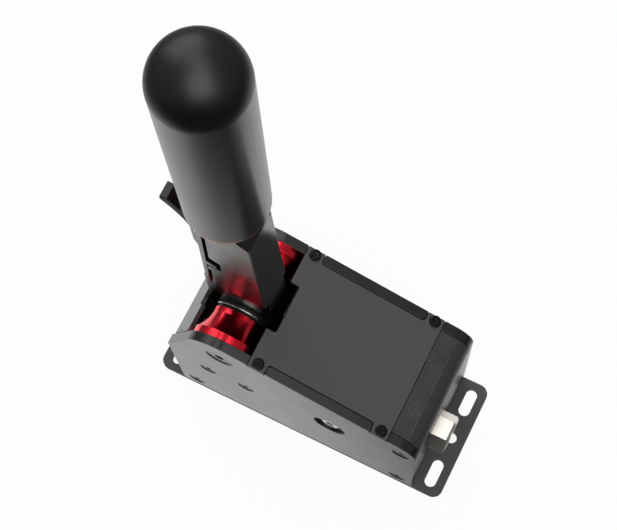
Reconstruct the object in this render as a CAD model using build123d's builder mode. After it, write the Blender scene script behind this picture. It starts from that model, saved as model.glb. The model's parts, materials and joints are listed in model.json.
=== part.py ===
from build123d import *
import os
from math import asin, atan2, cos, degrees, hypot, pi, radians, sin, sqrt, tan

os.makedirs("parts", exist_ok=True)

# A sequential gear shifter for a racing simulator. X runs from the lever end to the socket end, Y across
# the body and Z up. The origin is under the middle of the base plate.

# Shared fits and cuts
overrun = 1.0           # a cut runs this far past the face that it opens
fit = 0.05              # radial clearance of a pin, screw or ring in its bore
seam = 0.45             # gap between a cover and the plate beside it
hex_sides = 6
sides = (-1, 1)

# Base plate: a flange at each end with two slots and a round hole between them
base_length = 189.0
base_width = 75.0
base_thick = 4.0
base_corner = 6.0
base_edge = 0.5         # chamfer all round, above and below
slot_inset = 8.8        # from the plate's end to the row of slots
slot_margin = 13.5      # from the plate's sides to the middles of the slots
slot_radius = 3.5
slot_travel = 10.8      # between the centres of a slot's two ends

# Side plates
side_thick = 5.5
side_edge = 0.4         # chamfer of the outer bottom edge
front_flange = 17.7     # from the base plate's ends to the body
rear_flange = 17.8
nose_lean = 1.4         # the front rises outwards to the nose
nose_drop = 24.3        # the nose is this far below the pivot
rear_radius = 14.3
roof_slope = 14.57
pivot_setback = 35.2    # from the nose to the pivot
pivot_z = 104.3
crown_radius = 21.0     # rounding of the side plates about the pivot

# Top cover
cover_setback = 18.6    # from the pivot to the cover's front edge
cover_thick = 3.0
cover_edge = 0.15
tab_length = 10.2
recess_radius = 2.0
notch_depth = 5.7
notch_width = 29.0
notch_radius = 1.5

# Front cover: a strip on the sloped land of the side plates and a wall down to the base
strip_start = 5.6       # from the nose, along the land
strip_end = 28.9
strip_thick = 2.5
strip_notch_depth = 4.0
dot_radius = 0.6        # small drain hole near each end of the strip
dot_inset = 1.7
dot_share = 0.42        # its place along the strip

# Rear cover: ribs on its sloped part, then a round bend and a wall down to the base
rear_thick = 3.0
rear_slope = 7.6        # its length along the slope, up to the bend
rib_count = 7
rib_pitch = 1.4
rib_groove = 0.7
rib_depth = 0.6
rib_margin = 1.4

# Countersunk side screws with their bars
pivot_screw_head = 8.0
pivot_screw_shank = 4.0
pivot_screw_socket = 2.9
side_screw_head = 5.0
side_screw_shank = 2.5
side_screw_socket = 1.75
thread_length = 11.0
tapping_extra = 1.5     # a tapped hole is this much deeper than its screw
screw_sink = 0.5        # countersunk heads lie this deep
bar_radius = 5.0
low_bar_inset = 9.7     # from the body's ends
low_bar_z = 14.0
rear_bar_inset = 9.0
rear_bar_drop = 2.33    # below the centre of the rear bend
stop_setback = 0.7      # from the pivot to the middle between the two stop bars
stop_offset = 12.2
stop_bar_drop = 44.3    # from the pivot
stop_bar_radius = 4.0
stop_rubber_radius = 6.0
stop_rubber_length = 18.0

# Screws of the top cover and of the base plate
cap_screw_inset = 3.3
cap_screw_head = 3.3
cap_screw_height = 1.9
cap_screw_dome = 0.7
cap_screw_shank = 1.5
cap_screw_length = 10.0
cap_screw_socket = 1.2
cap_screw_socket_depth = 1.2
base_screw_head = 2.7
base_screw_shank = 1.5
base_screw_length = 12.0
base_screw_socket = 1.0
base_screw_inset = 26.8    # from the body's ends
socket_depth_share = 0.8    # of a countersunk head's height

# Pivot axle with its bearings, rings and sleeves, from the middle outwards
axle_radius = 7.5
bearing_spacer_half = 1.6
bearing_spacer_radius = 9.0
bearing_end = 8.9
bearing_inner_radius = 9.3
bearing_outer_radius = 14.2
bearing_radius = 16.0
ball_radius = 2.4
ball_count = 9
seal_end = 10.4
seal_radius = 14.8
washer_end = 11.2
washer_radius = 15.5
spacer_end = 12.7
spacer_radius = 14.6
sleeve_small_radius = 15.3
sleeve_small_end = 15.9
sleeve_big_radius = 19.7
sleeve_big_length = 4.5
sleeve_hollow = 0.7         # how deep the flare of a sleeve is hollowed
sleeve_edge = 0.3

# Lever arm: a hub, a neck and a wider upper block
hub_radius = 20.1
hub_half = 8.6
neck_left = 19.7            # from the pivot to the neck's edges
neck_right = 19.0
block_half = 11.7
block_rise = 43.7            # from the pivot to the block's bottom
block_height = 102.0
block_right_bottom = 18.5   # from the pivot to the block's right edge, at its bottom and top
block_right_top = 15.5
block_corner = 0.8
block_lip = 0.6
shoulder = 9.0              # from the pivot to the shoulder's end, where the block narrows
shoulder_drop = 10.0        # from the block's top to the shoulder's upper and lower edges
shoulder_foot_drop = 14.5
foot_left = 9.5             # block under the hub that carries the blade
foot_drop = 34.3            # from the pivot to the foot's bottom
foot_overlap = 6.0

# Blade, its screws and the magnet under it
blade_thick = 4.8
blade_top_gap = 0.6         # between the hub and the blade's top
blade_length = 36.6
blade_pad_length = 16.0
blade_pad_thick = 3.0
blade_width = 16.0
blade_screw_z_shares = (0.28, 0.72)
blade_screw_shank = 1.5
blade_screw_head = 2.75
blade_screw_head_height = 1.6
blade_screw_length = 9.0
magnet_radius = 7.0
magnet_thick = 5.0
magnet_gap = 5.0            # between this magnet and the lower one

# Stud, nut, collar, knob and cap
stud_radius = 6.0
stud_depth = 28.0           # in the block
stud_reach = 40.5           # in the knob
nut_radius = 10.4
nut_height = 7.5
collar_thick = 2.0
collar_radius = 20.2
knob_bottom_radius = 20.7
knob_top_radius = 21.2
knob_length = 126.0
knob_foot_radius = 1.6

# Finger trigger on the front of the block
trigger_gap = 2.1
trigger_hairline = 0.35
gap_top = 9.9               # from the pivot to the middle of the gap, at the strip's top and bottom
gap_bottom = 12.7
strip_bottom_gap = 1.0
strip_left = 16.2           # from the pivot to the strip's outer edge, at its bottom
horn_rise = 34.8            # from the block's bottom to the horn's root
horn_root_thick = 4.0
horn_tip = 7.0              # from the pivot to the tip of the horn
horn_tip_drop = 1.5         # the tip is this far below the root
horn_tip_thick = 2.4
horn_round = 0.6
notch_side_gap = 2.9        # from the horn's tip to the side of the block's notch
notch_top_gap = 8.6         # above the horn's root
notch_corner_gap = 7.6      # above its tip
notch_floor_gap = 0.9       # below its tip
notch_left_gap = 2.8        # below its root
notch_round = 1.6
hairline_length = 5.5       # the gap beside the strip is a hairline this far below the notch
hinge_setback = 13.9        # from the pivot
hinge_drop = 20.0           # from the block's top
strip_rise = 5.8            # from the hinge to the strip's top
strip_waist = (-0.7, -25.0)     # these points are given from the hinge
finger_root = (-0.7, -21.0)
finger_bend = (-5.4, -9.4)
finger_knee = (-13.1, -3.2)
finger_tip = (-22.7, 1.6)
finger_hollow = (-11.6, -0.6)
finger_seat = (-4.7, -2.0)
finger_tip_rise = 2.1
finger_tip_width = 3.6
finger_half = 5.3           # half its width at the hinge's height
finger_lean = 17.0          # of its sides, which come closer towards the top
hinge_pin_radius = 1.25
ear_radius = 2.4
ear_half = 5.0
ear_slot_half = 8.4
ear_slot_drop = 6.0
ear_slot_left = 3.7
hinge_bush_radius = 2.3
hinge_bush_length = 2.6
trigger_magnet_rise = 14.0  # from the block's bottom
trigger_magnet_radius = 3.0
trigger_magnet_thick = 1.5
trigger_magnet_sink = 0.15

# Force adjuster: a shaft through both side plates, a rocker and the lower magnet
adjuster_board_gap = 11.6   # from the circuit board
adjuster_drop = 39.1        # from the pivot
adjuster_hole = 9.6
adjuster_hole_chamfer = 0.6
bushing_length = 3.6
shaft_radius = 6.0
shaft_end_radius = 4.9
shaft_end_length = 3.0
shaft_recess = 1.2          # the shaft ends this far inside the outer faces
shaft_socket = 2.9
shaft_socket_depth = 4.0
rocker_half = 6.0
rocker_hub_radius = 11.0
rocker_thick = 8.0
rocker_seat_half = 8.5
rocker_bend = 27.0          # from the pivot to the rocker's bend
rocker_screw_radius = 2.5
rocker_screw_sink = 1.0     # the screw's end below the hub's top
rocker_screw_socket = 1.4
rocker_screw_socket_depth = 2.0

# Socket at the rear, with its nut, insert and pins
plug_y = -11.0
plug_drop = 21.5            # from the rear bar
plug_across_flats = 20.0
plug_length = 10.5
plug_edge = 1.2
plug_bore = 7.2
plug_bore_depth = 8.5
plug_barrel = 7.9
plug_barrel_length = 14.0
plug_hole_clearance = 0.2
plug_nut_across_flats = 21.0
plug_nut_thick = 3.0
insert_thick = 1.5
pin_radius = 0.7
pin_length = 5.0
pin_circle = 4.6
pin_count = 5

# Circuit board on the inside of the far side plate, and the lever's position sensor
board_rear_gap = 14.7
board_width = 27.0
board_bottom = 24.0
board_height = 46.0
board_thick = 1.6
standoff_radius = 2.5
standoff_length = 5.0
standoff_inset = 3.5
board_screw_radius = 1.25
board_screw_head = 2.2
board_screw_head_height = 1.2
board_screw_reach = 4.0
chip_size_shares = (0.4, 0.22)      # of the board's width and height
chip_thick = 1.2
header_size_shares = (0.55, 0.12)
header_thick = 5.0
sensor_setback = 5.2        # from the pivot
sensor_drop = 28.3
sensor_magnet_radius = 3.0
sensor_magnet_thick = 2.0
sensor_gap = 1.2
sensor_chip_size = 5.0
sensor_chip_thick = 1.0
bracket_width = 12.0

# Worked out from the sizes above
half_width = base_width / 2
inner_half = half_width - side_thick
slot_x = base_length / 2 - slot_inset
slot_spacing = base_width - 2 * slot_margin
heel_x = front_flange - base_length / 2
rear_x = base_length / 2 - rear_flange
nose_x = heel_x - nose_lean
pivot_x = nose_x + pivot_setback
cover_front_x = pivot_x + cover_setback
stop_middle_x = pivot_x + stop_setback
hinge_x = pivot_x - hinge_setback
sensor_x = pivot_x - sensor_setback
board_left = rear_x - board_rear_gap - board_width
adjuster_x = board_left - adjuster_board_gap
nose_z = pivot_z - nose_drop
stop_bar_z = pivot_z - stop_bar_drop
adjuster_z = pivot_z - adjuster_drop
sensor_z = pivot_z - sensor_drop
foot_bottom = pivot_z - foot_drop
blade_top = pivot_z - hub_radius - blade_top_gap
blade_bottom = blade_top - blade_length
rocker_magnet_top = blade_bottom - blade_pad_thick - magnet_thick - magnet_gap
block_bottom = pivot_z + block_rise
block_top = block_bottom + block_height
hinge_z = block_top - hinge_drop
strip_top = hinge_z + strip_rise
trigger_magnet_z = block_bottom + trigger_magnet_rise
horn_low_z = block_bottom + horn_rise
horn_high_z = horn_low_z + horn_root_thick
horn_tip_low_z = horn_low_z - horn_tip_drop
horn_tip_high_z = horn_tip_low_z + horn_tip_thick
collar_start = block_top + nut_height
knob_bottom = collar_start + collar_thick
knob_top = knob_bottom + knob_length
cap_screw_y = half_width - cap_screw_inset
sleeve_big_start = inner_half - sleeve_big_length
slope = radians(roof_slope)
roof_reach = pivot_x * sin(slope) + pivot_z * cos(slope) + crown_radius
cover_front_z = (roof_reach - cover_front_x * sin(slope)) / cos(slope)
roof = Plane(origin=(cover_front_x, 0, cover_front_z), x_dir=(cos(slope), 0, -sin(slope)),
             z_dir=(sin(slope), 0, cos(slope)))
nose_to_pivot = hypot(pivot_x - nose_x, pivot_z - nose_z)
land_angle = atan2(pivot_z - nose_z, pivot_x - nose_x) + asin(crown_radius / nose_to_pivot)
land_length = sqrt(nose_to_pivot ** 2 - crown_radius ** 2)
rear_centre_x = rear_x - rear_radius
rear_centre_z = (roof_reach - rear_radius - rear_centre_x * sin(slope)) / cos(slope)
cover_length = (rear_centre_x + rear_radius * sin(slope) - cover_front_x) / cos(slope) - rear_slope
rear_bar_z = rear_centre_z - rear_bar_drop
plug_z = rear_bar_z - plug_drop
pivot_axis = Axis((pivot_x, 0, pivot_z), (0, 1, 0))
screw_reach = side_thick + thread_length
cap_screw_places = [(x, side * cap_screw_y) for x in (tab_length / 2, cover_length - tab_length / 2)
                    for side in sides]
bar_places = [(rear_x - low_bar_inset, low_bar_z), (heel_x + low_bar_inset, low_bar_z),
              (rear_x - rear_bar_inset, rear_bar_z),
              (stop_middle_x - stop_offset, stop_bar_z), (stop_middle_x + stop_offset, stop_bar_z)]
blade_screw_heights = [foot_bottom + share * (blade_top - foot_bottom) for share in blade_screw_z_shares]


def on_land(distance, depth=0):
    """Point on the sloped front of the side plates, this far from the nose and this deep."""
    return (nose_x + distance * cos(land_angle) + depth * sin(land_angle),
            nose_z + distance * sin(land_angle) - depth * cos(land_angle))


def on_roof(distance, depth=0):
    """Point on the sloped top, this far behind the cover's front edge and this deep."""
    return (cover_front_x + distance * cos(slope) - depth * sin(slope),
            cover_front_z - distance * sin(slope) - depth * cos(slope))


def around(centre, radius, angle):
    """Point on a circle about a centre."""
    return (centre[0] + radius * cos(angle), centre[1] + radius * sin(angle))


def gap_x(z, offset=0):
    """Place across the leaning gap between the trigger's strip and the block, at a height."""
    lean = (gap_bottom - gap_top) / (strip_top - block_bottom)
    return pivot_x - gap_top - lean * (strip_top - z) + offset


def across(x, z, side, y=half_width):
    """Place on a face square to Y, with its Z axis pointing outwards."""
    return Plane(origin=(x, side * y, z), x_dir=(1, 0, 0), z_dir=(0, side, 0)).location


pivot = (pivot_x, pivot_z)
rear_centre = (rear_centre_x, rear_centre_z)
crown_start = on_land(land_length)
crown_end = around(pivot, crown_radius, pi / 2 - slope)
crown_middle = around(pivot, crown_radius, (land_angle + pi - slope) / 2)
rear_start = around(rear_centre, rear_radius, pi / 2 - slope)
rear_middle = around(rear_centre, rear_radius, (pi / 2 - slope) / 2)
rear_end = (rear_x, rear_centre_z)
outwards = (Align.CENTER, Align.CENTER, Align.MAX)


def cover_outline(grow):
    """The top cover seen square on: four tabs reach over the side plates."""
    with Locations((cover_length / 2, 0)):
        Rectangle(cover_length + 2 * grow, base_width + 2 * grow)
    with Locations(*[(cover_length / 2, side * half_width) for side in sides]):
        RectangleRounded(cover_length - 2 * tab_length - 2 * grow, 2 * (side_thick + seam - grow),
                         recess_radius, mode=Mode.SUBTRACT)


def flat_screws(places, head, shank, length, socket):
    """Countersunk screws with a hexagon socket, their heads a little below the places given."""
    places = [place * Pos(0, 0, -screw_sink) for place in places]
    key = extrude(RegularPolygon(socket, hex_sides), amount=-(head - shank) * socket_depth_share)
    with BuildPart() as screws:
        with Locations(*places):
            Cylinder(shank, length, align=outwards)
            Cone(shank, head, head - shank, align=outwards)
            add(key, mode=Mode.SUBTRACT)
    return screws


def flat_screw_holes(places, head, shank, depth):
    """Cut the seats of countersunk screws."""
    with Locations(*places):
        Cylinder(shank + fit, depth, align=outwards, mode=Mode.SUBTRACT)
        Cone(shank + fit, head + fit + screw_sink, head - shank + screw_sink, align=outwards,
             mode=Mode.SUBTRACT)


def crossbars(places, radius, screw_shank):
    """Round bars from one side plate to the other, tapped at both ends."""
    ends = [across(x, z, side, inner_half) for x, z in places for side in sides]
    with BuildPart() as bars:
        with BuildSketch(Plane.XZ):
            with Locations(*places):
                Circle(radius)
        extrude(amount=inner_half, both=True)
        with Locations(*ends):
            Cylinder(screw_shank + fit, thread_length + tapping_extra, align=outwards, mode=Mode.SUBTRACT)
    return bars


def pivot_rings(outer, inner, start, end):
    """A ring about the pivot on each side of the lever."""
    with BuildPart() as rings:
        with BuildSketch(Plane.XZ.offset(start)):
            with Locations(pivot):
                Circle(outer)
                Circle(inner, mode=Mode.SUBTRACT)
        extrude(amount=end - start)
        mirror(about=Plane.XZ)
    return rings


# Base plate
base_screw_xs = [heel_x + base_screw_inset, (heel_x + rear_x) / 2, rear_x - base_screw_inset]
base_screw_y = half_width - side_thick / 2
base_screw_places = [Plane(origin=(x, side * base_screw_y, 0), x_dir=(1, 0, 0), z_dir=(0, 0, -1)).location
                     for x in base_screw_xs for side in sides]
with BuildPart() as base_plate:
    with BuildSketch():
        RectangleRounded(base_length, base_width, base_corner)
        with GridLocations(2 * slot_x, slot_spacing, 2, 2):
            SlotCenterToCenter(slot_travel, 2 * slot_radius, rotation=degrees(pi / 2), mode=Mode.SUBTRACT)
        with GridLocations(2 * slot_x, 0, 2, 1):
            Circle(slot_radius, mode=Mode.SUBTRACT)
    extrude(amount=base_thick)
    plate_faces = base_plate.faces().filter_by(Axis.Z)
    chamfer([edge for face in plate_faces for edge in face.outer_wire().edges()], base_edge)
    flat_screw_holes(base_screw_places, base_screw_head, base_screw_shank, base_thick)

# Side plates
with BuildPart() as side_plate_near:
    with BuildSketch(Plane.XZ.offset(inner_half)):
        with BuildLine():
            Polyline((heel_x, base_thick), (nose_x, nose_z), crown_start)
            ThreePointArc(crown_start, crown_middle, crown_end)
            Line(crown_end, rear_start)
            ThreePointArc(rear_start, rear_middle, rear_end)
            Polyline(rear_end, (rear_x, base_thick), (heel_x, base_thick))
        make_face()
        with Locations((adjuster_x, adjuster_z)):
            Circle(adjuster_hole, mode=Mode.SUBTRACT)
    extrude(amount=side_thick)
    rim = side_plate_near.edges().filter_by(GeomType.CIRCLE).group_by(Axis.Y)[0]
    chamfer(rim.filter_by(lambda edge: edge.radius < adjuster_hole + fit), adjuster_hole_chamfer)
    chamfer(side_plate_near.edges().filter_by(Axis.X).group_by(Axis.Z)[0].sort_by(Axis.Y)[0], side_edge)
    with BuildSketch(roof):
        cover_outline(seam)
    extrude(amount=-cover_thick, mode=Mode.SUBTRACT)
    flat_screw_holes([across(pivot_x, pivot_z, -1)], pivot_screw_head, pivot_screw_shank, side_thick)
    flat_screw_holes([across(x, z, -1) for x, z in bar_places], side_screw_head, side_screw_shank, side_thick)
    with BuildSketch(roof):
        with Locations(*cap_screw_places):
            Circle(cap_screw_shank + fit)
    extrude(amount=-cap_screw_length, mode=Mode.SUBTRACT)
    with BuildSketch(Plane.XY.offset(base_thick)):
        with Locations(*[(x, -base_screw_y) for x in base_screw_xs]):
            Circle(base_screw_shank + fit)
    extrude(amount=base_screw_length, mode=Mode.SUBTRACT)
with BuildPart() as side_plate_far:
    add(mirror(side_plate_near.part, about=Plane.XZ))

# Top cover
with BuildPart() as top_cover:
    with BuildSketch(roof):
        cover_outline(0)
        RectangleRounded(2 * notch_depth, notch_width, notch_radius, mode=Mode.SUBTRACT)
        with Locations(*cap_screw_places):
            Circle(cap_screw_shank + fit, mode=Mode.SUBTRACT)
    extrude(amount=-cover_thick)
    cover_top = top_cover.faces().filter_by(lambda face: abs(roof.to_local_coords(face.center()).Z) < fit)
    chamfer(cover_top[0].outer_wire().edges(), cover_edge)

# Front cover
with BuildPart() as front_cover:
    with BuildSketch(Plane.XZ):
        with BuildLine():
            wall_x = on_land(strip_start)[0]
            corner_shift = strip_thick * (1 - sin(land_angle)) / cos(land_angle)
            Polyline((wall_x, base_thick), on_land(strip_start), on_land(strip_end),
                     on_land(strip_end, strip_thick), on_land(strip_start + corner_shift, strip_thick),
                     (wall_x + strip_thick, base_thick), close=True)
        make_face()
    extrude(amount=inner_half - seam, both=True)
    land = Plane(origin=(nose_x, 0, nose_z), x_dir=(cos(land_angle), 0, sin(land_angle)),
                 z_dir=(-sin(land_angle), 0, cos(land_angle)))
    with BuildSketch(land):
        with Locations((strip_end, 0)):
            RectangleRounded(2 * strip_notch_depth, notch_width, notch_radius)
        dot_place = strip_start + dot_share * (strip_end - strip_start)
        with Locations(*[(dot_place, side * (inner_half - dot_inset)) for side in sides]):
            Circle(dot_radius)
    extrude(amount=-strip_thick - overrun, mode=Mode.SUBTRACT)

# Rear cover
with BuildPart() as rear_cover:
    roof_run = cover_length + seam
    inner_radius = rear_radius - rear_thick
    with BuildSketch(Plane.XZ):
        with BuildLine():
            Line(on_roof(roof_run), rear_start)
            ThreePointArc(rear_start, rear_middle, rear_end)
            Polyline(rear_end, (rear_x, base_thick), (rear_x - rear_thick, base_thick),
                     (rear_x - rear_thick, rear_centre_z))
            ThreePointArc((rear_x - rear_thick, rear_centre_z),
                          around(rear_centre, inner_radius, (pi / 2 - slope) / 2),
                          around(rear_centre, inner_radius, pi / 2 - slope))
            Polyline(around(rear_centre, inner_radius, pi / 2 - slope), on_roof(roof_run, rear_thick),
                     on_roof(roof_run))
        make_face()
    extrude(amount=inner_half - seam, both=True)
    with BuildSketch(roof):
        with Locations(*[(roof_run + rib_margin + rib_pitch * i, 0) for i in range(rib_count)]):
            Rectangle(rib_groove, base_width)
    extrude(amount=-rib_depth, mode=Mode.SUBTRACT)
    with BuildSketch(Plane.YZ.offset(rear_x)):
        with Locations((plug_y, plug_z)):
            Circle(plug_barrel + plug_hole_clearance)
    extrude(amount=-rear_thick, mode=Mode.SUBTRACT)

# Screws
pivot_screws = flat_screws([across(pivot_x, pivot_z, side) for side in sides], pivot_screw_head,
                           pivot_screw_shank, screw_reach, pivot_screw_socket)
side_screws = flat_screws([across(x, z, side) for x, z in bar_places for side in sides], side_screw_head,
                          side_screw_shank, screw_reach, side_screw_socket)
base_screws = flat_screws(base_screw_places, base_screw_head, base_screw_shank, base_screw_length,
                          base_screw_socket)
cap_key = extrude(RegularPolygon(cap_screw_socket, hex_sides), amount=-cap_screw_socket_depth)
with BuildPart() as cover_screws:
    with BuildSketch(roof):
        with Locations(*cap_screw_places):
            Circle(cap_screw_head)
    extrude(amount=cap_screw_height)
    fillet(cover_screws.edges().filter_by(GeomType.CIRCLE).filter_by(
        lambda edge: roof.to_local_coords(edge.center()).Z > fit), cap_screw_dome)
    with BuildSketch(roof):
        with Locations(*cap_screw_places):
            Circle(cap_screw_shank)
    extrude(amount=-cap_screw_length)
    with Locations(*[roof.location * Pos(x, y, cap_screw_height) for x, y in cap_screw_places]):
        add(cap_key, mode=Mode.SUBTRACT)

# Bars between the side plates, and the rubber that the blade comes up against
low_bars = crossbars(bar_places[:2], bar_radius, side_screw_shank)
rear_bar = crossbars(bar_places[2:3], bar_radius, side_screw_shank)
stop_bars = crossbars(bar_places[3:], stop_bar_radius, side_screw_shank)
with BuildPart() as stop_rubbers:
    with BuildSketch(Plane.XZ):
        with Locations(*bar_places[3:]):
            Circle(stop_rubber_radius)
            Circle(stop_bar_radius + fit, mode=Mode.SUBTRACT)
    extrude(amount=stop_rubber_length / 2, both=True)

# Pivot axle, bearings, rings and sleeves
pivot_axle = crossbars([pivot], axle_radius, pivot_screw_shank)
bearing_spacer = pivot_rings(bearing_spacer_radius, axle_radius + fit, 0, bearing_spacer_half)
bearing_inner_rings = pivot_rings(bearing_inner_radius, axle_radius + fit, bearing_spacer_half, bearing_end)
bearing_outer_rings = pivot_rings(bearing_radius, bearing_outer_radius, bearing_spacer_half, hub_half)
ball_circle = (bearing_inner_radius + bearing_outer_radius) / 2
ball_y = (bearing_spacer_half + hub_half) / 2
with BuildPart() as bearing_balls:
    with Locations(*[across(pivot_x, pivot_z, side, ball_y) for side in sides]):
        with PolarLocations(ball_circle, ball_count):
            Sphere(ball_radius)
seal_rings = pivot_rings(seal_radius, axle_radius + fit, bearing_end, seal_end)
washers = pivot_rings(washer_radius, axle_radius + fit, seal_end, washer_end)
spacer_rings = pivot_rings(spacer_radius, axle_radius + fit, washer_end, spacer_end)


def sleeve(side):
    """Turned sleeve on the axle that flares out to the side plate."""
    bore = pivot_x + axle_radius + fit
    small = pivot_x + sleeve_small_radius
    big = pivot_x + sleeve_big_radius
    flare = ((small + big) / 2 - sleeve_hollow, side * (sleeve_small_end + sleeve_big_start) / 2)
    with BuildPart() as turned:
        with BuildSketch(Plane.XY.offset(pivot_z)):
            with BuildLine():
                Polyline((small, side * sleeve_small_end), (small, side * (spacer_end + sleeve_edge)),
                         (small - sleeve_edge, side * spacer_end), (bore, side * spacer_end),
                         (bore, side * inner_half), (big, side * inner_half), (big, side * sleeve_big_start))
                ThreePointArc((big, side * sleeve_big_start), flare, (small, side * sleeve_small_end))
            make_face()
        revolve(axis=pivot_axis)
    return turned


sleeve_near = sleeve(-1)
sleeve_far = sleeve(1)

# Lever arm
half_gap = trigger_gap / 2
block_left = gap_x(hinge_z, half_gap)
notch_right = pivot_x - horn_tip + notch_side_gap
notch_start_z = horn_high_z + notch_top_gap
notch_corner_z = horn_tip_high_z + notch_corner_gap
notch_floor_z = horn_tip_low_z - notch_floor_gap
notch_left_z = horn_low_z - notch_left_gap
notch_left = gap_x(notch_left_z, trigger_hairline - half_gap)
gap_narrow_z = notch_left_z - hairline_length
with BuildPart() as lever_arm:
    with BuildSketch(Plane.XZ):
        Polygon((gap_x(block_bottom, half_gap), block_bottom), (gap_x(gap_narrow_z, half_gap), gap_narrow_z),
                (gap_x(gap_narrow_z, trigger_hairline - half_gap), gap_narrow_z),
                (notch_left, notch_left_z), (notch_right, notch_floor_z), (notch_right, notch_corner_z),
                (gap_x(notch_start_z, half_gap), notch_start_z),
                (gap_x(block_top, half_gap), block_top), (pivot_x + shoulder, block_top),
                (pivot_x + shoulder, block_top - shoulder_drop),
                (pivot_x + block_right_top, block_top - shoulder_foot_drop),
                (pivot_x + block_right_bottom, block_bottom), align=None)
    extrude(amount=block_half, both=True)
    faces_y = lever_arm.edges().filter_by(lambda edge: abs(edge.center().Y) > block_half - fit)
    chamfer(faces_y.sort_by(Axis.X)[-2:], block_corner)
    faces_y = lever_arm.edges().filter_by(lambda edge: abs(edge.center().Y) > block_half - fit)
    chamfer(faces_y.sort_by(Axis.Z)[:2], block_lip)
    fillet(lever_arm.edges().filter_by(Axis.Y).filter_by(
        lambda edge: notch_left + fit < edge.center().X < notch_right + fit
        and notch_floor_z - fit < edge.center().Z < notch_start_z + fit), notch_round)
    with BuildSketch(Plane.XZ):
        with Locations(pivot):
            Circle(hub_radius)
        Polygon((pivot_x - neck_left, pivot_z), (pivot_x - neck_left, block_bottom),
                (pivot_x + block_right_bottom, block_bottom), (pivot_x + neck_right, pivot_z), align=None)
        Polygon((stop_middle_x - foot_left, pivot_z - foot_overlap), (stop_middle_x - foot_left, foot_bottom),
                (stop_middle_x - blade_thick / 2, foot_bottom),
                (stop_middle_x - blade_thick / 2, pivot_z - foot_overlap), align=None)
    extrude(amount=hub_half, both=True)
    with BuildSketch(Plane.XZ):
        with Locations((hinge_x, hinge_z)):
            Circle(ear_radius)
        Polygon((hinge_x, hinge_z - ear_radius), (block_left + overrun, hinge_z - ear_radius),
                (block_left + overrun, hinge_z + ear_radius), (hinge_x, hinge_z + ear_radius), align=None)
    extrude(amount=ear_half, both=True)
    with BuildSketch(Plane.XZ):
        with Locations(pivot):
            Circle(bearing_outer_radius - fit)
        with Locations((hinge_x, hinge_z)):
            Circle(hinge_pin_radius + fit)
    extrude(amount=block_half, both=True, mode=Mode.SUBTRACT)
    for side in sides:
        with BuildSketch(Plane.XZ.offset(side * bearing_spacer_half)):
            with Locations(pivot):
                Circle(bearing_radius + fit)
        extrude(amount=side * hub_half, mode=Mode.SUBTRACT)
    with BuildSketch(Plane.XY.offset(block_top)):
        with Locations((pivot_x, 0)):
            Circle(stud_radius + fit)
    extrude(amount=-stud_depth, mode=Mode.SUBTRACT)
    with BuildSketch(Plane.XZ.offset(-hub_half)):
        with Locations((sensor_x, sensor_z)):
            Circle(sensor_magnet_radius + fit)
    extrude(amount=sensor_magnet_thick, mode=Mode.SUBTRACT)
    with BuildSketch(Plane.YZ.offset(stop_middle_x - blade_thick / 2)):
        with Locations(*[(0, z) for z in blade_screw_heights]):
            Circle(blade_screw_shank + fit)
    extrude(amount=-blade_screw_length + blade_thick, mode=Mode.SUBTRACT)
    arm_magnet_x = gap_x(trigger_magnet_z, half_gap + trigger_magnet_sink)
    with BuildSketch(Plane.YZ.offset(gap_x(trigger_magnet_z))):
        with Locations((0, trigger_magnet_z)):
            Circle(trigger_magnet_radius + fit)
    extrude(amount=half_gap + trigger_magnet_sink + trigger_magnet_thick, mode=Mode.SUBTRACT)

# Blade under the hub, its screws and its magnet
with BuildPart() as lever_blade:
    with BuildSketch(Plane.XZ):
        Polygon((stop_middle_x - blade_thick / 2, blade_top), (stop_middle_x - blade_thick / 2, blade_bottom),
                (stop_middle_x - blade_pad_length / 2, blade_bottom),
                (stop_middle_x - blade_pad_length / 2, blade_bottom - blade_pad_thick),
                (stop_middle_x + blade_pad_length / 2, blade_bottom - blade_pad_thick),
                (stop_middle_x + blade_pad_length / 2, blade_bottom),
                (stop_middle_x + blade_thick / 2, blade_bottom), (stop_middle_x + blade_thick / 2, blade_top),
                align=None)
    extrude(amount=blade_width / 2, both=True)
    with BuildSketch(Plane.YZ.offset(stop_middle_x)):
        with Locations(*[(0, z) for z in blade_screw_heights]):
            Circle(blade_screw_shank + fit)
    extrude(amount=blade_thick, both=True, mode=Mode.SUBTRACT)
with BuildPart() as blade_screws:
    with BuildSketch(Plane.YZ.offset(stop_middle_x + blade_thick / 2)):
        with Locations(*[(0, z) for z in blade_screw_heights]):
            Circle(blade_screw_shank)
    extrude(amount=-blade_screw_length)
    with BuildSketch(Plane.YZ.offset(stop_middle_x + blade_thick / 2)):
        with Locations(*[(0, z) for z in blade_screw_heights]):
            Circle(blade_screw_head)
    extrude(amount=blade_screw_head_height)
magnet_top = blade_bottom - blade_pad_thick
with BuildPart() as blade_magnet:
    with BuildSketch(Plane.XY.offset(magnet_top)):
        with Locations((stop_middle_x, 0)):
            Circle(magnet_radius)
    extrude(amount=-magnet_thick)
with BuildPart() as sensor_magnet:
    with BuildSketch(Plane.XZ.offset(-hub_half)):
        with Locations((sensor_x, sensor_z)):
            Circle(sensor_magnet_radius)
    extrude(amount=sensor_magnet_thick)

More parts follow.
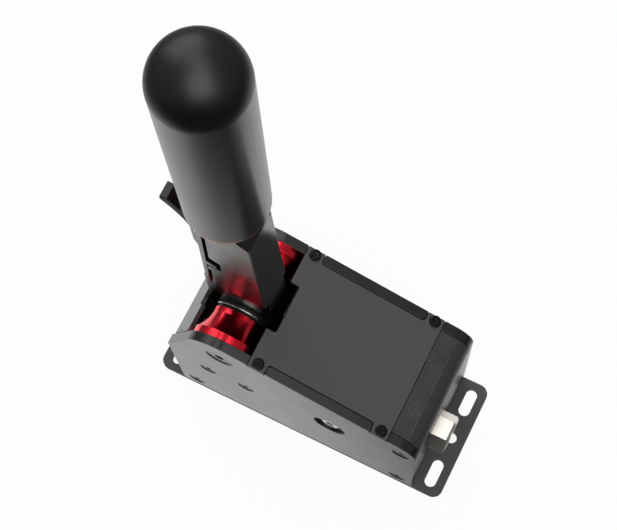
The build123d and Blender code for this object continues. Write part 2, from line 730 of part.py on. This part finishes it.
# Stud, nut, collar, knob and cap
with BuildPart() as knob_stud:
    with BuildSketch(Plane.XY.offset(block_top - stud_depth)):
        with Locations((pivot_x, 0)):
            Circle(stud_radius)
    extrude(amount=stud_depth + knob_bottom - block_top + stud_reach)
with BuildPart() as stud_nut:
    with BuildSketch(Plane.XY.offset(block_top)):
        with Locations((pivot_x, 0)):
            RegularPolygon(nut_radius, hex_sides)
            Circle(stud_radius + fit, mode=Mode.SUBTRACT)
    extrude(amount=nut_height)
with BuildPart() as knob_collar:
    with BuildSketch(Plane.XY.offset(collar_start)):
        with Locations((pivot_x, 0)):
            Circle(collar_radius)
            Circle(stud_radius + fit, mode=Mode.SUBTRACT)
    extrude(amount=collar_thick)
with BuildPart() as knob:
    with BuildSketch(Plane.XZ):
        Polygon((pivot_x, knob_bottom), (pivot_x + knob_bottom_radius, knob_bottom),
                (pivot_x + knob_top_radius, knob_top), (pivot_x, knob_top), align=None)
    revolve(axis=Axis((pivot_x, 0, 0), (0, 0, 1)))
    fillet(knob.edges().filter_by(GeomType.CIRCLE).group_by(Axis.Z)[0], knob_foot_radius)
    with BuildSketch(Plane.XY.offset(knob_bottom)):
        with Locations((pivot_x, 0)):
            Circle(stud_radius + fit)
    extrude(amount=stud_reach + overrun, mode=Mode.SUBTRACT)
with BuildPart() as knob_cap:
    with BuildSketch(Plane.XZ):
        with BuildLine():
            cap_rim = (pivot_x + knob_top_radius, knob_top)
            cap_crown = (pivot_x, knob_top + knob_top_radius)
            ThreePointArc(cap_rim, around((pivot_x, knob_top), knob_top_radius, pi / 4), cap_crown)
            Polyline(cap_crown, (pivot_x, knob_top), cap_rim)
        make_face()
    revolve(axis=Axis((pivot_x, 0, 0), (0, 0, 1)))

# Finger trigger, its pin and its springs
strip_bottom = block_bottom + strip_bottom_gap


def from_hinge(point):
    """Point of the trigger's outline, given from the hinge."""
    return (hinge_x + point[0], hinge_z + point[1])


with BuildPart() as trigger:
    with BuildSketch(Plane.XZ):
        with BuildLine():
            strip_edge = pivot_x - strip_left
            seat = from_hinge(finger_seat)
            tip = from_hinge(finger_tip)
            tip_z = tip[1] + finger_tip_rise
            Polyline(from_hinge(finger_root), from_hinge(strip_waist), (strip_edge, strip_bottom),
                     (gap_x(strip_bottom, -half_gap), strip_bottom),
                     (gap_x(horn_low_z, -half_gap), horn_low_z),
                     (pivot_x - horn_tip, horn_tip_low_z), (pivot_x - horn_tip, horn_tip_high_z),
                     (gap_x(horn_high_z, -half_gap), horn_high_z), (gap_x(strip_top, -half_gap), strip_top),
                     (strip_edge, strip_top), (strip_edge, seat[1]), seat, from_hinge(finger_hollow),
                     (tip[0] + finger_tip_width, tip_z), (tip[0], tip_z), tip)
            Spline(tip, from_hinge(finger_knee), from_hinge(finger_bend), from_hinge(finger_root))
        make_face()
    extrude(amount=block_half, both=True)
    fillet(trigger.edges().filter_by(Axis.Y).filter_by(
        lambda edge: edge.center().X > gap_x(horn_high_z, -half_gap) - fit
        and horn_tip_low_z - fit < edge.center().Z < horn_high_z + fit), horn_round)
    cut_y = block_half + overrun
    cut_top = strip_top + overrun
    lean_rate = tan(radians(finger_lean))
    for side in sides:
        with BuildSketch(Plane.YZ.offset(strip_edge)):
            Polygon((side * cut_y, hinge_z - (cut_y - finger_half) / lean_rate), (side * cut_y, cut_top),
                    (side * (finger_half - (cut_top - hinge_z) * lean_rate), cut_top), align=None)
        extrude(amount=tip[0] - overrun - strip_edge, mode=Mode.SUBTRACT)
    with BuildSketch(Plane.XZ):
        ear_slot_bottom = hinge_z - ear_slot_drop
        Polygon((hinge_x - ear_slot_left, ear_slot_bottom), (block_left + overrun, ear_slot_bottom),
                (block_left + overrun, strip_top + overrun), (hinge_x - ear_slot_left, strip_top + overrun),
                align=None)
    extrude(amount=ear_slot_half, both=True, mode=Mode.SUBTRACT)
    with BuildSketch(Plane.XZ):
        with Locations((hinge_x, hinge_z)):
            Circle(hinge_pin_radius + fit)
    extrude(amount=block_half, both=True, mode=Mode.SUBTRACT)
    with BuildSketch(Plane.YZ.offset(gap_x(trigger_magnet_z))):
        with Locations((0, trigger_magnet_z)):
            Circle(trigger_magnet_radius + fit)
    extrude(amount=-half_gap - trigger_magnet_sink - trigger_magnet_thick, mode=Mode.SUBTRACT)
with BuildPart() as trigger_pin:
    with BuildSketch(Plane.XZ):
        with Locations((hinge_x, hinge_z)):
            Circle(hinge_pin_radius)
    extrude(amount=block_half, both=True)
with BuildPart() as hinge_bushings:
    for side in sides:
        with BuildSketch(Plane.XZ.offset(side * (ear_half + fit))):
            with Locations((hinge_x, hinge_z)):
                Circle(hinge_bush_radius)
                Circle(hinge_pin_radius + fit, mode=Mode.SUBTRACT)
        extrude(amount=side * hinge_bush_length)
with BuildPart() as trigger_magnet:
    with BuildSketch(Plane.YZ.offset(gap_x(trigger_magnet_z, -half_gap - trigger_magnet_sink))):
        with Locations((0, trigger_magnet_z)):
            Circle(trigger_magnet_radius)
    extrude(amount=-trigger_magnet_thick)
with BuildPart() as arm_magnet:
    with BuildSketch(Plane.YZ.offset(arm_magnet_x)):
        with Locations((0, trigger_magnet_z)):
            Circle(trigger_magnet_radius)
    extrude(amount=trigger_magnet_thick)

# Force adjuster
shaft_end = half_width - shaft_recess
with BuildPart() as adjuster_bushings:
    with BuildSketch(Plane.XZ.offset(inner_half)):
        with Locations((adjuster_x, adjuster_z)):
            Circle(adjuster_hole - fit)
            Circle(shaft_radius + fit, mode=Mode.SUBTRACT)
    extrude(amount=bushing_length)
    mirror(about=Plane.XZ)
shaft_key = extrude(RegularPolygon(shaft_socket, hex_sides), amount=-shaft_socket_depth)
with BuildPart() as adjuster_shaft:
    with BuildSketch(Plane.XZ):
        with Locations((adjuster_x, adjuster_z)):
            Circle(shaft_radius)
    extrude(amount=shaft_end - shaft_end_length + shaft_recess, both=True)
    with BuildSketch(Plane.XZ):
        with Locations((adjuster_x, adjuster_z)):
            Circle(shaft_end_radius)
    extrude(amount=shaft_end, both=True)
    with Locations(*[across(adjuster_x, adjuster_z, side, shaft_end) for side in sides]):
        add(shaft_key, mode=Mode.SUBTRACT)
rocker_seat_z = rocker_magnet_top - magnet_thick
with BuildPart() as adjuster_rocker:
    with BuildSketch(Plane.XZ):
        with Locations((adjuster_x, adjuster_z)):
            Circle(rocker_hub_radius)
        Polygon((adjuster_x, adjuster_z + rocker_hub_radius),
                (pivot_x + rocker_bend, rocker_seat_z + rocker_thick),
                (stop_middle_x + rocker_seat_half, rocker_seat_z),
                (stop_middle_x - rocker_seat_half, rocker_seat_z),
                (stop_middle_x - rocker_seat_half, rocker_seat_z - rocker_thick),
                (pivot_x + rocker_bend, rocker_seat_z - rocker_thick),
                (adjuster_x, adjuster_z - rocker_hub_radius), align=None)
        with Locations((adjuster_x, adjuster_z)):
            Circle(shaft_radius + fit, mode=Mode.SUBTRACT)
    extrude(amount=rocker_half, both=True)
    with BuildSketch(Plane.XY.offset(adjuster_z)):
        with Locations((adjuster_x, 0)):
            Circle(rocker_screw_radius + fit)
    extrude(amount=rocker_hub_radius, mode=Mode.SUBTRACT)
with BuildPart() as rocker_screw:
    with BuildSketch(Plane.XY.offset(adjuster_z + rocker_hub_radius - rocker_screw_sink)):
        with Locations((adjuster_x, 0)):
            Circle(rocker_screw_radius)
    extrude(amount=shaft_radius + fit - rocker_hub_radius + rocker_screw_sink)
    with BuildSketch(Plane.XY.offset(adjuster_z + rocker_hub_radius - rocker_screw_sink)):
        with Locations((adjuster_x, 0)):
            RegularPolygon(rocker_screw_socket, hex_sides)
    extrude(amount=-rocker_screw_socket_depth, mode=Mode.SUBTRACT)
with BuildPart() as rocker_magnet:
    with BuildSketch(Plane.XY.offset(rocker_seat_z)):
        with Locations((stop_middle_x, 0)):
            Circle(rocker_half)
    extrude(amount=magnet_thick)

# Socket at the rear
with BuildPart() as plug_shell:
    with BuildSketch(Plane.YZ.offset(rear_x)):
        with Locations((plug_y, plug_z)):
            RegularPolygon(plug_across_flats / 2, hex_sides, major_radius=False)
    extrude(amount=plug_length)
    chamfer(plug_shell.faces().sort_by(Axis.X)[-1].edges(), plug_edge)
    with BuildSketch(Plane.YZ.offset(rear_x)):
        with Locations((plug_y, plug_z)):
            Circle(plug_barrel)
    extrude(amount=-plug_barrel_length)
    with BuildSketch(Plane.YZ.offset(rear_x + plug_length)):
        with Locations((plug_y, plug_z)):
            Circle(plug_bore)
    extrude(amount=-plug_bore_depth - insert_thick, mode=Mode.SUBTRACT)
with BuildPart() as plug_nut:
    with BuildSketch(Plane.YZ.offset(rear_x - rear_thick)):
        with Locations((plug_y, plug_z)):
            RegularPolygon(plug_nut_across_flats / 2, hex_sides, major_radius=False)
            Circle(plug_barrel + fit, mode=Mode.SUBTRACT)
    extrude(amount=-plug_nut_thick)
insert_face = rear_x + plug_length - plug_bore_depth
with BuildPart() as plug_insert:
    with BuildSketch(Plane.YZ.offset(insert_face)):
        with Locations((plug_y, plug_z)):
            Circle(plug_bore - fit)
            with PolarLocations(pin_circle, pin_count):
                Circle(pin_radius + fit, mode=Mode.SUBTRACT)
    extrude(amount=-insert_thick)
with BuildPart() as plug_pins:
    with BuildSketch(Plane.YZ.offset(insert_face - insert_thick)):
        with Locations((plug_y, plug_z)):
            with PolarLocations(pin_circle, pin_count):
                Circle(pin_radius)
    extrude(amount=insert_thick + pin_length)

# Circuit board
board_y = inner_half - standoff_length
board_middle = (board_left + board_width / 2, board_bottom + board_height / 2)
standoff_span = (board_width - 2 * standoff_inset, board_height - 2 * standoff_inset)
with BuildPart() as board_standoffs:
    with BuildSketch(Plane.XZ.offset(-board_y)):
        with Locations(board_middle):
            with GridLocations(*standoff_span, 2, 2):
                Circle(standoff_radius)
                Circle(board_screw_radius + fit, mode=Mode.SUBTRACT)
    extrude(amount=-standoff_length)
with BuildPart() as circuit_board:
    with BuildSketch(Plane.XZ.offset(-board_y)):
        with Locations(board_middle):
            Rectangle(board_width, board_height)
            with GridLocations(*standoff_span, 2, 2):
                Circle(board_screw_radius + fit, mode=Mode.SUBTRACT)
    extrude(amount=board_thick)
board_face = -board_y + board_thick
with BuildPart() as board_screws:
    with BuildSketch(Plane.XZ.offset(board_face)):
        with Locations(board_middle):
            with GridLocations(*standoff_span, 2, 2):
                Circle(board_screw_head)
    extrude(amount=board_screw_head_height)
    with BuildSketch(Plane.XZ.offset(board_face)):
        with Locations(board_middle):
            with GridLocations(*standoff_span, 2, 2):
                Circle(board_screw_radius)
    extrude(amount=-board_thick - board_screw_reach)
with BuildPart() as board_chips:
    with BuildSketch(Plane.XZ.offset(board_face)):
        with Locations(board_middle):
            Rectangle(board_width * chip_size_shares[0], board_height * chip_size_shares[1])
    extrude(amount=chip_thick)
with BuildPart() as board_header:
    with BuildSketch(Plane.XZ.offset(board_face)):
        with Locations((board_middle[0], board_bottom + board_height * (1 - 2 * header_size_shares[1]))):
            Rectangle(board_width * header_size_shares[0], board_height * header_size_shares[1])
    extrude(amount=header_thick)

# Position sensor beside the lever's foot
chip_face = hub_half + sensor_gap
with BuildPart() as sensor_bracket:
    with BuildSketch(Plane.XZ.offset(-inner_half)):
        with Locations((sensor_x, sensor_z)):
            Rectangle(bracket_width, bracket_width)
    extrude(amount=inner_half - chip_face - sensor_chip_thick)
with BuildPart() as sensor_chip:
    with BuildSketch(Plane.XZ.offset(-chip_face - sensor_chip_thick)):
        with Locations((sensor_x, sensor_z)):
            Rectangle(sensor_chip_size, sensor_chip_size)
    extrude(amount=sensor_chip_thick)

pieces = {
    "base_plate": base_plate, "side_plate_near": side_plate_near, "side_plate_far": side_plate_far,
    "top_cover": top_cover, "front_cover": front_cover, "rear_cover": rear_cover,
    "pivot_screws": pivot_screws, "side_screws": side_screws, "base_screws": base_screws,
    "cover_screws": cover_screws, "low_bars": low_bars, "rear_bar": rear_bar, "stop_bars": stop_bars,
    "stop_rubbers": stop_rubbers, "pivot_axle": pivot_axle, "bearing_spacer": bearing_spacer,
    "bearing_inner_rings": bearing_inner_rings, "bearing_outer_rings": bearing_outer_rings,
    "bearing_balls": bearing_balls, "seal_rings": seal_rings, "washers": washers,
    "spacer_rings": spacer_rings, "sleeve_near": sleeve_near, "sleeve_far": sleeve_far,
    "lever_arm": lever_arm, "lever_blade": lever_blade, "blade_screws": blade_screws,
    "blade_magnet": blade_magnet, "sensor_magnet": sensor_magnet, "knob_stud": knob_stud,
    "stud_nut": stud_nut, "knob_collar": knob_collar, "knob": knob, "knob_cap": knob_cap,
    "trigger": trigger, "trigger_pin": trigger_pin, "hinge_bushings": hinge_bushings,
    "trigger_magnet": trigger_magnet, "arm_magnet": arm_magnet, "rocker_screw": rocker_screw,
    "adjuster_bushings": adjuster_bushings, "adjuster_shaft": adjuster_shaft,
    "adjuster_rocker": adjuster_rocker, "rocker_magnet": rocker_magnet, "plug_shell": plug_shell,
    "plug_nut": plug_nut, "plug_insert": plug_insert, "plug_pins": plug_pins,
    "circuit_board": circuit_board, "board_standoffs": board_standoffs, "board_screws": board_screws,
    "board_chips": board_chips, "board_header": board_header, "sensor_bracket": sensor_bracket,
    "sensor_chip": sensor_chip,
}
for name, piece in pieces.items():
    piece.part.label = name
    export_step(piece.part, f"parts/{name}.step")
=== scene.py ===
import json
from math import radians

import bpy
from mathutils import Euler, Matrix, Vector

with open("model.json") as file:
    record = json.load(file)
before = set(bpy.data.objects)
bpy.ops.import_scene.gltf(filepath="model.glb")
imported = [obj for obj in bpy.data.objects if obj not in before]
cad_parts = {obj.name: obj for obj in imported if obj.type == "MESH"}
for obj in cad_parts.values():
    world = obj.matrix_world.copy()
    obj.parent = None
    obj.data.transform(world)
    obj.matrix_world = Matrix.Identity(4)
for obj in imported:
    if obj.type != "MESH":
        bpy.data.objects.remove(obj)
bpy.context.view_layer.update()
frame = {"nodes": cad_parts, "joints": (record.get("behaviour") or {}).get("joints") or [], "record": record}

# Lengths are in metres, and those whose names end in _mm are in millimetres
MM_PER_M = 1000.0
WHITE = (1.0, 1.0, 1.0, 1.0)

scene = bpy.context.scene
scene.view_settings.view_transform = "Standard"


def place_camera():
    """The photograph's camera, fitted to edges and circles that show in it."""
    turns = Euler((radians(18.15), radians(1.83), radians(26.65)), "XYZ")
    origin_seen_mm = Vector((9.598, -69.426, -922.17))
    focal_px = 1500.0
    image_px = 617.0
    data = bpy.data.cameras.new("camera")
    camera = bpy.data.objects.new("camera", data)
    scene.collection.objects.link(camera)
    camera.rotation_euler = turns
    camera.location = -(turns.to_matrix() @ origin_seen_mm) / MM_PER_M
    data.sensor_width = 36.0
    data.lens = focal_px * data.sensor_width / image_px
    data.clip_start = 0.05
    data.clip_end = 20.0
    scene.camera = camera


class Nodes:
    """Adds and links the nodes of one tree."""

    # The sockets that a Mix node uses for colours
    MIX_FACTOR, MIX_A, MIX_B, MIX_RESULT = 0, 6, 7, 2

    def __init__(self, tree):
        self.tree = tree
        tree.nodes.clear()

    def feed(self, socket, value):
        """Links a socket to another one, or sets its value."""
        if isinstance(value, bpy.types.NodeSocket):
            self.tree.links.new(value, socket)
        else:
            socket.default_value = value

    def add(self, kind, inputs=None, **settings):
        node = self.tree.nodes.new("ShaderNode" + kind)
        for key, value in settings.items():
            setattr(node, key, value)
        for key, value in (inputs or {}).items():
            self.feed(node.inputs[key], value)
        return node

    def math(self, operation, *values, clamp=False):
        node = self.add("Math", dict(enumerate(values)), operation=operation, use_clamp=clamp)
        return node.outputs[0]

    def vector(self, operation, a, b):
        """The number that a vector operation gives for two vectors."""
        return self.add("VectorMath", {0: a, 1: b}, operation=operation).outputs["Value"]

    def ramp(self, value, low, high, to_low=0.0, to_high=1.0, kind="LINEAR"):
        """Maps low..high to to_low..to_high, and holds the ends beyond them."""
        node = self.add("MapRange", {"Value": value, "From Min": low, "From Max": high,
                                     "To Min": to_low, "To Max": to_high}, interpolation_type=kind)
        return node.outputs["Result"]

    def smooth(self, value, low, high, to_low, to_high):
        """The same with soft ends."""
        return self.ramp(value, low, high, to_low, to_high, kind="SMOOTHSTEP")

    def noise(self, place, scale, detail, roughness=0.5):
        node = self.add("TexNoise", {"Vector": place, "Scale": scale, "Detail": detail,
                                     "Roughness": roughness})
        return node.outputs["Fac"]

    def mix(self, share, a, b):
        """The colour between a and b at this share."""
        node = self.add("Mix", {self.MIX_FACTOR: share, self.MIX_A: a, self.MIX_B: b}, data_type="RGBA")
        return node.outputs[self.MIX_RESULT]

    def rounded_edges(self, edge):
        """The normal as if edges were rounded, and a mask that grows from 0 on flats to 1 on edges."""
        rounded = self.add("Bevel", {"Radius": edge}, samples=6).outputs["Normal"]
        flat = self.add("NewGeometry").outputs["Normal"]
        corner = self.ramp(self.vector("DOT_PRODUCT", rounded, flat), low=0.995, high=0.86)
        return rounded, corner

    def bump(self, height, depth_mm, normal):
        """The normal of a surface that is raised by up to this depth."""
        node = self.add("Bump", {"Strength": 1.0, "Distance": depth_mm / MM_PER_M, "Height": height,
                                 "Normal": normal})
        return node.outputs["Normal"]


def new_look(name):
    """A material and the helper for its empty node tree."""
    look = bpy.data.materials.new(name)
    look.use_nodes = True
    return look, Nodes(look.node_tree)


def rgb(value):
    """A grey level, or a red, green and blue triple, as an opaque colour."""
    red, green, blue = value if isinstance(value, tuple) else (value, value, value)
    return (red, green, blue, 1.0)


def shade(colour, factor):
    """A colour made darker or lighter."""
    return rgb(tuple(min(1.0, channel * factor) for channel in colour[:3]))


def finish_material(name, colour, rough, metallic=0.0, specular=0.5, grain=900.0, grain_depth_mm=0.02,
                    rough_vary=0.06, wear_and_edge_highlight=0.25, wear_and_highlight_colour=0.35, edge=0.0004, brushed=None):
    """A finish with fine grain, uneven roughness, slight colour variation, and edges mixed towards a paler
    colour, which stands partly for wear and partly for a painted highlight along the edges. grain is the
    scale of the grain's noise, and brushed the scales along X, Y and Z of brush lines."""
    colour_vary = 0.12
    grain_under_brush = 0.3
    look, n = new_look(name)
    where = n.add("TexCoord").outputs["Object"]
    fine = n.noise(where, grain, detail=3.0, roughness=0.6)
    patch = n.noise(where, scale=38.0, detail=4.0, roughness=0.55)
    cloud = n.noise(where, scale=9.0, detail=2.0)
    height = fine
    if brushed is not None:
        stretched = n.add("Mapping", {"Vector": where, "Scale": brushed}).outputs["Vector"]
        height = n.math("ADD", n.math("MULTIPLY", fine, grain_under_brush),
                        n.noise(stretched, scale=1.0, detail=4.0))

    rounded, corner = n.rounded_edges(edge)
    # Edges mixed towards the paler colour: partly wear, partly a painted highlight along the edges
    rubbed_and_highlit = n.math("MULTIPLY", corner, n.ramp(patch, low=0.42, high=0.7, to_low=0.15))
    rubbed_and_highlit = n.math("MULTIPLY", rubbed_and_highlit, wear_and_edge_highlight, clamp=True)

    dark = shade(rgb(colour), 1 - colour_vary)
    light = shade(rgb(colour), 1 + colour_vary)
    tone = n.mix(n.ramp(cloud, low=0.3, high=0.7), dark, light)
    tone = n.mix(n.ramp(fine, low=0.35, high=0.65, to_high=0.25), tone, light)
    tone = n.mix(rubbed_and_highlit, tone, rgb(wear_and_highlight_colour))
    uneven = n.ramp(patch, low=0.3, high=0.7, to_low=rough - rough_vary, to_high=rough + rough_vary)
    shader = n.add("BsdfPrincipled", {
        "Base Color": tone, "Roughness": uneven, "Metallic": metallic, "Specular IOR Level": specular,
        "Normal": n.bump(height, grain_depth_mm, rounded)})
    n.add("OutputMaterial", {"Surface": shader.outputs[0]})
    return look


def turned_material(name, colour, rough, axis, wear_and_highlight_colour=0.8, coat=0.0):
    """Metal turned on a lathe, with fine rings. The lathe's axis lies along Y, through the point axis."""
    ring_scale = 5400.0
    ring_depth_mm = 0.001
    colour_vary = 0.08
    wear_and_edge_highlight = 0.2
    smoothest = rough - 0.05
    roughest = rough + 0.07
    look, n = new_look(name)
    where = n.add("TexCoord").outputs["Object"]
    place = n.add("SeparateXYZ", {"Vector": where}).outputs
    across = n.math("SUBTRACT", place["X"], axis.x)
    above = n.math("SUBTRACT", place["Z"], axis.z)
    radius = n.math("SQRT", n.math("ADD", n.math("MULTIPLY", across, across),
                                   n.math("MULTIPLY", above, above)))
    rings = n.add("CombineXYZ", {"X": n.math("MULTIPLY", radius, ring_scale),
                                 "Y": n.math("MULTIPLY", place["Y"], ring_scale)}).outputs[0]
    lines = n.noise(rings, scale=1.0, detail=3.0)
    patch = n.noise(where, scale=60.0, detail=4.0)

    rounded, corner = n.rounded_edges(edge=0.0004)
    # Edges mixed towards the paler colour: partly wear, partly a painted highlight along the edges
    rubbed_and_highlit = n.math("MULTIPLY", corner, wear_and_edge_highlight, clamp=True)
    tone = n.mix(n.ramp(lines, low=0.3, high=0.7), shade(rgb(colour), 1 - colour_vary),
                 shade(rgb(colour), 1 + 2 * colour_vary))
    tone = n.mix(rubbed_and_highlit, tone, rgb(wear_and_highlight_colour))
    # The rings scatter light along the axis more than around it
    along = n.add("CombineXYZ", {"Y": 1.0}).outputs[0]
    shader = n.add("BsdfPrincipled", {
        "Base Color": tone, "Metallic": 1.0, "Normal": n.bump(lines, ring_depth_mm, rounded),
        "Coat Weight": coat, "Coat Roughness": 0.12, "Anisotropic": 0.6, "Tangent": along,
        "Roughness": n.ramp(patch, low=0.3, high=0.7, to_low=smoothest, to_high=roughest)})
    n.add("OutputMaterial", {"Surface": shader.outputs[0]})
    return look


def anodised_looks():
    """The body's plates and covers."""
    fine = {"grain": 1400.0, "grain_depth_mm": 0.004}
    return {
        "base_black": finish_material("base_black_look", colour=0.1, rough=0.45, specular=0.15),
        "plate_anodised": finish_material("plate_look", colour=0.008, rough=0.25, specular=0.66,
                                          rough_vary=0.02, wear_and_highlight_colour=0.16, **fine),
        "strip_anodised": finish_material("strip_look", colour=0.02, rough=0.24, specular=1.0,
                                          rough_vary=0.02, wear_and_edge_highlight=0.1, wear_and_highlight_colour=0.16, **fine),
        "cover_anodised": finish_material("cover_look", colour=0.062, rough=0.44,
                                          grain=1400.0, grain_depth_mm=0.014),
        # The ribs' edges are painted pale at full strength: a painted highlight line along each rib
        "rear_anodised": finish_material("rear_look", colour=0.042, rough=0.3, specular=0.4, wear_and_edge_highlight=1.0,
                                         wear_and_highlight_colour=(0.42, 0.42, 0.41), edge=0.0002, **fine),
    }


def lever_looks():
    """The lever with its trigger, and the knob with its cap and collar."""
    satin = {"grain": 1600.0, "grain_depth_mm": 0.003, "wear_and_highlight_colour": 0.2}
    soft = {"grain": 2600.0, "grain_depth_mm": 0.002, "rough_vary": 0.01, "edge": 0.00005}
    return {
        "lever_satin": finish_material("lever_look", colour=0.003, rough=0.23, **satin),
        # The wide edge radius rounds the edges and also widens the pale edge colour, a painted highlight
        # along the trigger's edges
        "trigger_satin": finish_material("trigger_look", colour=0.003, rough=0.22, edge=0.0008, **satin),
        "knob_soft": finish_material("knob_look", colour=0.002, rough=0.28, wear_and_highlight_colour=0.06, **soft),
        "cap_satin": finish_material("cap_look", colour=0.002, rough=0.4, specular=0.62, wear_and_edge_highlight=0.1,
                                     wear_and_highlight_colour=0.05, **soft),
        "collar_copper": finish_material("collar_look", colour=(0.34, 0.18, 0.12), rough=0.3, metallic=1.0),
    }


def pivot_looks():
    """The sleeves and washers, turned about the lever's pivot."""
    tilt = next(joint for joint in frame["joints"] if joint["name"] == "lever_tilt")
    pivot = Vector(tilt["pos_m"])
    return {
        "washer_steel": turned_material("washer_look", colour=(0.7, 0.69, 0.67), rough=0.2, axis=pivot),
        "sleeve_red": turned_material("sleeve_look", colour=(0.98, 0.008, 0.03), rough=0.2, axis=pivot,
                                      wear_and_highlight_colour=(0.9, 0.12, 0.14), coat=0.6),
    }


def small_part_looks():
    """Fasteners, seals, the cable's socket, and the board and magnets inside."""
    return {
        # The head's rim and the hex socket's rim are painted pale: a painted highlight ring
        "screw_black": finish_material("screw_look", colour=0.003, rough=0.24, specular=0.2, rough_vary=0.03,
                                       grain_depth_mm=0.002, wear_and_edge_highlight=0.8, wear_and_highlight_colour=0.3, edge=0.0006),
        "screw_flat": finish_material("screw_flat_look", colour=0.008, rough=0.27, specular=0.75,
                                      wear_and_edge_highlight=0.1, edge=0.0002),
        "steel": finish_material("steel_look", colour=0.5, rough=0.3, metallic=1.0, wear_and_highlight_colour=0.75,
                                 brushed=(30.0, 4000.0, 4000.0)),
        "rubber_black": finish_material("rubber_look", colour=0.008, rough=0.6, grain=2200.0,
                                        wear_and_edge_highlight=0.1, wear_and_highlight_colour=0.06),
        "plug_metal": finish_material("plug_look", colour=(0.86, 0.815, 0.755), rough=0.34, metallic=1.0,
                                      grain_depth_mm=0.003, wear_and_highlight_colour=(0.9, 0.86, 0.8)),
        "plastic_black": finish_material("plastic_look", colour=0.014, rough=0.5),
        "contact_gold": finish_material("contact_look", colour=(0.8, 0.55, 0.2), rough=0.2, metallic=1.0),
        "board_green": finish_material("board_look", colour=(0.01, 0.09, 0.04), rough=0.35),
        "magnet_nickel": finish_material("magnet_look", colour=0.6, rough=0.2, metallic=1.0),
    }


def dress_nodes():
    """Gives each CAD node the look of its material slot in the record. The front cover, which the record
    lists with the other covers, is smoother than they are."""
    looks = anodised_looks() | lever_looks() | pivot_looks() | small_part_looks()
    slot_of = {part["node"]: part["material_slot"] for part in frame["record"]["subparts"]}
    slot_of["front_cover"] = "strip_anodised"
    for name, node in frame["nodes"].items():
        look = looks[slot_of[name]]
        if not node.material_slots:
            node.data.materials.append(look)
        for slot in node.material_slots:
            slot.material = look


def floor_material():
    """Almost white to the camera, with a trace of the part's shadow. Mirrored in the part, the floor is a
    pool of light that fades to the front right and with distance."""
    pool_centre = (-0.04, 0.05, 0.0)
    to_front_right = (0.7, -0.71, 0.0)
    camera_share = 0.95
    mirrored_share = 0.92
    look, n = new_look("floor_look")
    rays = n.add("LightPath").outputs
    seen = rays["Is Camera Ray"]
    mirrored = n.math("ADD", rays["Is Glossy Ray"], rays["Is Transmission Ray"], clamp=True)
    where = n.add("TexCoord").outputs["Object"]
    forward = n.vector("DOT_PRODUCT", where, to_front_right)
    away = n.vector("DISTANCE", where, pool_centre)
    pool = n.math("MULTIPLY", n.smooth(forward, low=0.01, high=0.165, to_low=1.0, to_high=0.0),
                  n.smooth(away, low=0.3, high=0.62, to_low=1.0, to_high=0.1))
    matt = n.add("BsdfDiffuse", {"Color": rgb(0.9)})
    glow = n.add("Emission", {"Color": WHITE,
                              "Strength": n.math("ADD", seen, n.math("MULTIPLY", mirrored, pool))})
    share = n.math("ADD", n.math("MULTIPLY", seen, camera_share),
                   n.math("MULTIPLY", mirrored, mirrored_share))
    blend = n.add("MixShader", {0: share, 1: matt.outputs[0], 2: glow.outputs[0]})
    n.add("OutputMaterial", {"Surface": blend.outputs[0]})
    return look


def lay_floor():
    """A large square, just under the part."""
    half = 6.0
    drop = 0.0002
    mesh = bpy.data.meshes.new("floor")
    mesh.from_pydata([(-half, -half, 0), (half, -half, 0), (half, half, 0), (-half, half, 0)],
                     [], [(0, 1, 2, 3)])
    mesh.materials.append(floor_material())
    floor = bpy.data.objects.new("floor", mesh)
    scene.collection.objects.link(floor)
    floor.location.z = -drop


def light_room():
    """A dim room, white to the camera, that is darker towards the low front right."""
    dark_side = (0.42, -0.80, -0.43)
    world = bpy.data.worlds.new("room")
    scene.world = world
    world.use_nodes = True
    n = Nodes(world.node_tree)
    facing = n.vector("DOT_PRODUCT", n.add("TexCoord").outputs["Generated"], dark_side)
    level = n.smooth(facing, low=0.35, high=0.85, to_low=0.26, to_high=0.02)
    room = n.add("Background", {"Color": WHITE, "Strength": level})
    plain = n.add("Background", {"Color": WHITE, "Strength": 1.0})
    seen = n.add("LightPath").outputs["Is Camera Ray"]
    chosen = n.add("MixShader", {0: seen, 1: room.outputs[0], 2: plain.outputs[0]})
    n.add("OutputWorld", {"Surface": chosen.outputs[0]})


def softbox(name, place, target, size, watts):
    """A rectangular lamp that faces its target, out of the camera's sight."""
    data = bpy.data.lights.new(name, "AREA")
    data.shape = "RECTANGLE"
    data.size, data.size_y = size
    data.energy = watts
    lamp = bpy.data.objects.new(name, data)
    scene.collection.objects.link(lamp)
    lamp.location = place
    lamp.rotation_mode = "QUATERNION"
    lamp.rotation_quaternion = (Vector(target) - Vector(place)).to_track_quat("-Z", "Y")
    lamp.visible_camera = False


def hang_lamps():
    """One large lamp over the front right, a weak one that upward faces mirror, and one behind."""
    softbox("overhead", place=(0.56, -0.64, 1.78), target=(-0.02, 0.0, 0.25), size=(1.5, 1.65), watts=15.0)
    softbox("above", place=(-0.18, 0.35, 1.62), target=(-0.18, 0.35, 0.0), size=(0.9, 0.7), watts=2.9)
    softbox("behind", place=(-0.95, 0.80, 1.05), target=(-0.02, 0.0, 0.2), size=(1.4, 1.3), watts=7.5)


place_camera()
dress_nodes()
lay_floor()
light_room()
hang_lamps()
